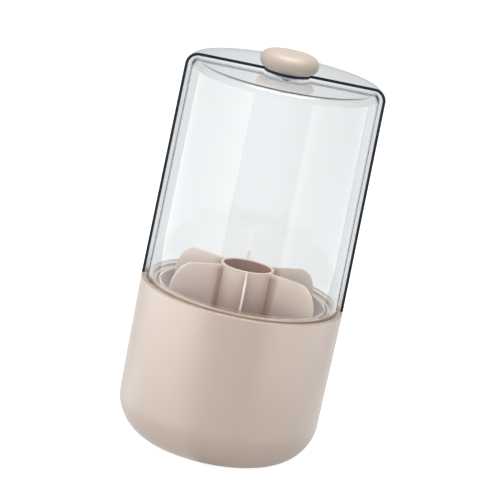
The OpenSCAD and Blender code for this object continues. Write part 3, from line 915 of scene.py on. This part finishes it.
def back_half():
    """The fixed half of the cover: shell, forward tab with the bush's bore, and lip."""
    under_z = COVER_TOP_Z - COVER_WALL
    outer, inner = shell_paths(
        COVER_R, COVER_R - COVER_DRAFT, LEDGE_Z, COVER_TOP_Z, COVER_SHOULDER, COVER_WALL,
        COVER_WALL, COVER_TAB_R,
    )
    lip_in = COVER_R - COVER_WALL + LIP_IN
    lip_out = lip_in + LIP_T
    lip_z = LEDGE_Z - LIP_DEPTH
    turns = (0, LIP_END, 180 - LIP_END, 180)
    lip_turns = turns[1:3]

    shell = Solid()
    shell.sweep(outer, *turns)
    shell.sweep(inner, *turns)
    shell.sweep([inner[-1], (lip_in, LEDGE_Z)], *turns)
    shell.sweep([(lip_out, LEDGE_Z), outer[-1]], *turns)
    shell.sweep([(lip_in, LEDGE_Z), (lip_out, LEDGE_Z)], *turns[:2])
    shell.sweep([(lip_in, LEDGE_Z), (lip_out, LEDGE_Z)], *turns[2:])
    lip = [(lip_in, LEDGE_Z), (lip_in, lip_z), (lip_out, lip_z), (lip_out, LEDGE_Z)]
    shell.sweep(lip, *lip_turns)
    for turn in lip_turns:
        shell.flat(lip, turn)
    for turn in (0, 180):
        shell.cut_face(outer[:-1], inner[:-1], turn)
        shell.flat([
            outer[-2], outer[-1], (lip_out, LEDGE_Z), (lip_in, LEDGE_Z), inner[-1], inner[-2],
        ], turn)
    for z in (COVER_TOP_Z, under_z):
        shell.sweep([(BUSH_R, z), (COVER_TAB_R, z)], *turns, 360)
    shell.sweep([(BUSH_R, COVER_TOP_Z), (BUSH_R, under_z)], *turns, 360)
    shell.sweep([(COVER_TAB_R, COVER_TOP_Z), (COVER_TAB_R, under_z)], 180, 360)
    piece = shell.closed("back_half", COVER_PLASTIC, CUT_EDGE_ROUND)
    placed(piece, "cover", "clear_plastic", "back_shell")


def door_half():
    """The turning half: shell, tab with the driven boss, and the hoop at its foot."""
    under_z = DOOR_TOP_Z - DOOR_CAP
    outer, inner = shell_paths(
        HOOP_R, HOOP_R - DOOR_DRAFT, HOOP_TOP_Z, DOOR_TOP_Z, DOOR_SHOULDER, DOOR_WALL,
        DOOR_CAP, DOOR_TAB_R,
    )
    in_r = HOOP_R - HOOP_T
    hole = square(SPIGOT_W / 2 + SPIGOT_GAP)
    front = (180, 360)
    back = (0, 180)
    whole = (0, 180, 360)

    door = Solid()
    door.sweep(outer, *front)
    door.sweep(inner, *front)
    for turn in back:
        door.cut_face(outer, inner, turn)
    hoop_round = [
        outer[-1], (HOOP_R, HOOP_Z), (in_r, HOOP_Z), (in_r, HOOP_TOP_Z), inner[-1],
    ]
    door.sweep(hoop_round, *whole)
    door.sweep([inner[-1], outer[-1]], *back)
    boss = [
        (DOOR_TAB_R, DOOR_TOP_Z), (DOOR_BOSS_R, DOOR_TOP_Z), (DOOR_BOSS_R, DOOR_BOSS_Z),
        (hole, DOOR_BOSS_Z), (hole, DOOR_SEAT_Z), (DOOR_BOSS_R, DOOR_SEAT_Z),
        (DOOR_BOSS_R, under_z), (DOOR_TAB_R, under_z),
    ]
    door.sweep(boss, *whole)
    door.sweep([(DOOR_TAB_R, DOOR_TOP_Z), (DOOR_TAB_R, under_z)], *back)
    piece = door.closed("door_half", DOOR_PLASTIC, CUT_EDGE_ROUND)
    placed(piece, "door", "clear_plastic", "front_door", "door_hoop")


def pebble_knob():
    """The knob with its stem, the square spigot that drives the door, and the screw's bore."""
    mid_z = KNOB_Z + KNOB_MID
    crown_z = KNOB_TOP_Z - KNOB_CROWN
    crown = [
        (KNOB_CROWN_R * t, crown_z + KNOB_CROWN * (1 - t * t))
        for t in [1 - i / 10 for i in range(1, 11)]
    ]
    knob = [(STEM_R, DOOR_BOSS_Z), (STEM_R, KNOB_Z)]
    knob += arc(KNOB_FLAT_R, mid_z, KNOB_R - KNOB_FLAT_R, KNOB_MID, -90, 0, CORNER_STEPS)
    knob += arc(KNOB_CROWN_R, mid_z, KNOB_R - KNOB_CROWN_R, crown_z - mid_z, 0, 90, CORNER_STEPS)[1:]
    knob += crown
    cavity = [
        (0, INSERT_Z + INSERT_H), (INSERT_R, INSERT_Z + INSERT_H), (INSERT_R, INSERT_Z),
        (THREAD_R, INSERT_Z), (THREAD_R, DOOR_BOSS_Z),
    ]
    spigot_z = foot_of("knob")
    peg = square(SPIGOT_W / 2)
    solid = Solid()
    solid.sweep(knob, 0, 360)
    solid.sweep(cavity, 0, 360)
    solid.sweep([(STEM_R, DOOR_BOSS_Z), (peg, DOOR_BOSS_Z), (peg, spigot_z), (THREAD_R, spigot_z),
                 (THREAD_R, DOOR_BOSS_Z)], 0, 360)
    placed(solid.closed("pebble_knob", KNOB_PLASTIC), "door", "knob_plastic", "knob")


CARRIED_OVER = {
    "foot_ring": FOOT_SILICONE,
    "lower_race": PRESSED_STEEL,
    "upper_race": PRESSED_STEEL,
    "spindle_washer": PRESSED_STEEL,
    "spindle_clip": PRESSED_STEEL,
    "screw_washer": PRESSED_STEEL,
    "lower_race_screws": ZINC_STEEL,
    "cup_screws": ZINC_STEEL,
    "pivot_screw": ZINC_STEEL,
    "spindle": ZINC_STEEL,
    "ball_cage": BUSH_PLASTIC,
    "pivot_bush": BUSH_PLASTIC,
    "bearing_balls": BALL_STEEL,
    "knob_insert": TURNED_BRASS,
}

base_bowl()
groove_ring()
turning_cup()
divider()
back_half()
door_half()
pebble_knob()
for node, finish in CARRIED_OVER.items():
    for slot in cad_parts[node].material_slots:
        slot.material = finish

# Studio. The camera sees the backdrop as white, and as a little less through the clear plastic.
# Reflections show a dimmer room, so that the plastic's outlines and its top read against white.
# The lamps alone light the matte pieces. Pairs are where a change starts and ends.
BACKDROP = 1.0
SEEN_THROUGH = 0.91
SKY_THROUGH = 0.5
MIRRORED_ROOM = 0.76
ROOM_LIGHT = 0.38
FLOOR_LIFT = 0.84
FLOOR_R = 9.0

# The floor as the plastic mirrors it: brighter beside the organiser than ahead of it
FLOOR_AHEAD = 1.05
FLOOR_LEFT = 1.7
FLOOR_RIGHT = 1.15
FLOOR_BEYOND = 0.5
FLOOR_APEX = BASE_R * 0.52
BRIGHT_FROM = (math.radians(29), math.radians(34))
BRIGHT_TO = (math.radians(118), math.radians(128))
RIGHT_LATER = math.radians(14)
LEFT_TO_RIGHT = (0, 0.01)
BRIGHT_REACH = (0.3, 0.5)
FOOT_SHADE = 0.5
FOOT_SHADE_REACH = (BASE_R * 0.9, BASE_R * 2)

# The floor as it is seen through the plastic: behind the organiser it falls off to the sides
FLOOR_ASIDE = 0.9
STRAIGHT_BEHIND = (math.radians(130), math.radians(155))
FALL_OFF = (20 * MM, 150 * MM)
FALL_OFF_DIMS = 0.21
FALL_OFF_MIDDLE = (-1 * MM, 1 * MM)
FALL_OFF_RIGHT = 0.8

# Lamps
PANEL_NEAR = 0.38
PANEL_FAR = 0.6
PANEL_H = 0.24
PANEL_SOFT = 0.05
COOL = (0.93, 0.99, 1.04)
NEUTRAL = (1, 1, 1)
LAMP_AIM = (0, 0, 0.1)

# The camera as fitted to the photograph
CAMERA_DISTANCE = 1.7
CAMERA_TARGET = Vector((-0.57 * MM, 0, 131.76 * MM))
CAMERA_RISE = 13.713
CAMERA_SIDE = -0.922
CAMERA_ROLL = 11.636
FRAME_W = 500
FOCAL_PX = 2698.82
SENSOR_W = 36.0


class Rays:
    """Which kind of ray meets a surface, each as 0 or 1."""

    def __init__(self, maker):
        self.camera = maker.node("ShaderNodeLightPath", output="Is Camera Ray")
        outputs = self.camera.socket.node.outputs
        self.through = Signal(maker, outputs["Is Transmission Ray"])
        self.mirrored = Signal(maker, outputs["Is Glossy Ray"]) * (1 - self.through)


def studio_world():
    world = bpy.data.worlds.new("studio")
    bpy.context.scene.world = world
    world.use_nodes = True
    m = Maker(world.node_tree)
    rays = Rays(m)
    strength = ROOM_LIGHT + rays.camera * (BACKDROP - ROOM_LIGHT)
    strength = strength + rays.through * (SKY_THROUGH - ROOM_LIGHT)
    strength = strength + rays.mirrored * (MIRRORED_ROOM - ROOM_LIGHT)
    light = m.node("ShaderNodeBackground", {}, {"Color": strength, "Strength": 1.0})
    m.node("ShaderNodeOutputWorld", {}, {"Surface": light})


def mirrored_floor(f):
    """Brightness of the floor where the plastic mirrors it."""
    turn = f.node("ShaderNodeMath", {"operation": "ARCTAN2"}, {
        0: f.axis("X"), 1: -1 * f.axis("Y") - FLOOR_APEX,
    })
    aside = abs(turn)
    from_side = aside - f.ramp(turn, *LEFT_TO_RIGHT, 0, RIGHT_LATER)
    beside = f.ramp(from_side, *BRIGHT_FROM, 0, 1) * f.ramp(aside, *BRIGHT_TO, 1, 0)
    bright = f.ramp(turn, *LEFT_TO_RIGHT, FLOOR_LEFT, FLOOR_RIGHT)
    bright = bright + f.ramp(f.from_axis(), *BRIGHT_REACH, 0, 1) * (FLOOR_BEYOND - bright)
    from_foot = f.ramp(f.from_axis(), *FOOT_SHADE_REACH, FOOT_SHADE, 1)
    return from_foot * (FLOOR_AHEAD + beside * (bright - FLOOR_AHEAD)), aside


def floor_behind(f, aside):
    """Brightness of the floor seen through the plastic. Straight behind the organiser it falls
    off evenly to the left and, a little less, to the right."""
    across = f.axis("X")
    dimmed = f.ramp(abs(across), *FALL_OFF, 0, FALL_OFF_DIMS)
    dimmed = dimmed * f.ramp(across, *FALL_OFF_MIDDLE, 1, FALL_OFF_RIGHT)
    straight = f.ramp(aside, *STRAIGHT_BEHIND, 0, 1)
    return FLOOR_ASIDE + straight * (SEEN_THROUGH - dimmed - FLOOR_ASIDE)


def studio_floor():
    """Pale paper that keeps the organiser's shadow. Where plastic mirrors it or shows it through, it
    glows with painted light instead: brighter beside the organiser, darker near its foot, and
    falling off to the sides behind it.
    """
    f = Finish("studio_floor", (0.9, 0.9, 0.9))
    rays = Rays(f)
    paper = f.node("ShaderNodeBsdfPrincipled", {}, {
        "Base Color": (0.8, 0.8, 0.8, 1),
        "Roughness": 0.9,
        "Specular IOR Level": 0.0,
        "Emission Color": rays.camera * FLOOR_LIFT,
        "Emission Strength": 1.0,
    })
    mirrored, aside = mirrored_floor(f)
    # Painted light: where plastic mirrors or shows the floor, it glows by these patterns instead of
    # being lit.
    even = f.node("ShaderNodeEmission", {}, {
        "Color": rays.through * floor_behind(f, aside) + rays.mirrored * mirrored,
        "Strength": 1.0,
    })
    shown = rays.through + rays.mirrored
    f.surface(f.node("ShaderNodeMixShader", {}, {0: shown, 1: paper, 2: even}))
    mesh = bmesh.new()
    bmesh.ops.create_circle(mesh, cap_ends=True, segments=96, radius=FLOOR_R)
    floor = as_piece("studio_floor", mesh, f.material)


def soft_edge(lamp, soft):
    """Lets a lamp fade at one end, over a share of its width."""
    lamp.use_nodes = True
    m = Maker(lamp.node_tree)
    place = m.node("ShaderNodeNewGeometry", output="Parametric")
    across = m.node("ShaderNodeSeparateXYZ", {}, {"Vector": place})
    fade = m.node("ShaderNodeMapRange", {"interpolation_type": "SMOOTHSTEP"}, {
        "Value": across, "From Max": soft,
    })
    light = m.node("ShaderNodeEmission", {}, {"Color": fade, "Strength": 1.0})
    m.node("ShaderNodeOutputLight", {}, {"Surface": light})


def lamp_panel(name, middle, width, height, aim, radiance, tint=NEUTRAL, soft=0.0):
    """A rectangular soft lamp at a place, turned to face a point."""
    lamp = bpy.data.lights.new(name, "AREA")
    lamp.color = tint
    lamp.shape = "RECTANGLE"
    lamp.size = width
    lamp.size_y = height
    lamp.energy = radiance * math.pi * width * height
    if soft:
        soft_edge(lamp, soft)
    panel = bpy.data.objects.new(name, lamp)
    bpy.context.scene.collection.objects.link(panel)
    turn = (Vector(aim) - Vector(middle)).to_track_quat("-Z", "Y").to_matrix().to_4x4()
    panel.matrix_world = Matrix.Translation(middle) @ turn
    panel.visible_camera = False
    panel.visible_transmission = False
    return panel


def around_axis(turn, distance, z):
    """A place at an angle from the front, positive to the right."""
    t = math.radians(turn)
    return Vector((math.sin(t) * distance, -math.cos(t) * distance, z))


def side_panel(name, near_turn, far_turn, radiance):
    """A low, long softbox beside the organiser, whose ends stand at two angles from the front. The
    clear door mirrors it downwards, so it starts at the floor. It is only there to be mirrored."""
    near = around_axis(near_turn, PANEL_NEAR, PANEL_H / 2)
    far = around_axis(far_turn, PANEL_FAR, PANEL_H / 2)
    middle = (near + far) / 2
    along = (far - near).normalized()
    inwards = Vector((along.y, -along.x, 0))
    if inwards.dot(middle) > 0:
        inwards = -inwards
    width = (far - near).length
    panel = lamp_panel(name, middle, width, PANEL_H, middle + inwards, radiance, soft=PANEL_SOFT)
    panel.visible_diffuse = False


def studio_camera():
    lens = bpy.data.cameras.new("camera")
    lens.sensor_width = SENSOR_W
    lens.lens = FOCAL_PX / FRAME_W * SENSOR_W
    lens.clip_end = 50
    camera = bpy.data.objects.new("camera", lens)
    bpy.context.scene.collection.objects.link(camera)
    side = Matrix.Rotation(math.radians(CAMERA_SIDE), 4, "Z")
    rise = math.radians(CAMERA_RISE)
    back = Vector((0, -math.cos(rise), math.sin(rise)))
    eye = side @ (CAMERA_TARGET + back * CAMERA_DISTANCE)
    turn = (side @ -back).to_track_quat("-Z", "Y").to_matrix().to_4x4()
    roll = Matrix.Rotation(math.radians(CAMERA_ROLL), 4, "Z")
    camera.matrix_world = Matrix.Translation(eye) @ turn @ roll
    bpy.context.scene.camera = camera


studio_world()
studio_floor()
side_panel("softbox_left", -31.3, -122, 2.3)
side_panel("softbox_right", 31, 118, 1.7)
for name, place, size, radiance, tint, mirrored in (
    ("softbox_top", (0, -0.1, 1.2), 0.8, 5.4, NEUTRAL, True),
    ("key_lamp", (-0.95, -0.5, 0.9), 0.6, 4.5, COOL, False),
    ("front_lamp", (0, -1.35, 0.16), 0.6, 4.4, NEUTRAL, False),
):
    lamp_panel(name, place, size, size, LAMP_AIM, radiance, tint).visible_glossy = mirrored
studio_camera()

scene = bpy.context.scene
scene.view_settings.view_transform = "Standard"
scene.cycles.max_bounces = 24
scene.cycles.transmission_bounces = 20
scene.cycles.glossy_bounces = 8
scene.cycles.transparent_max_bounces = 24
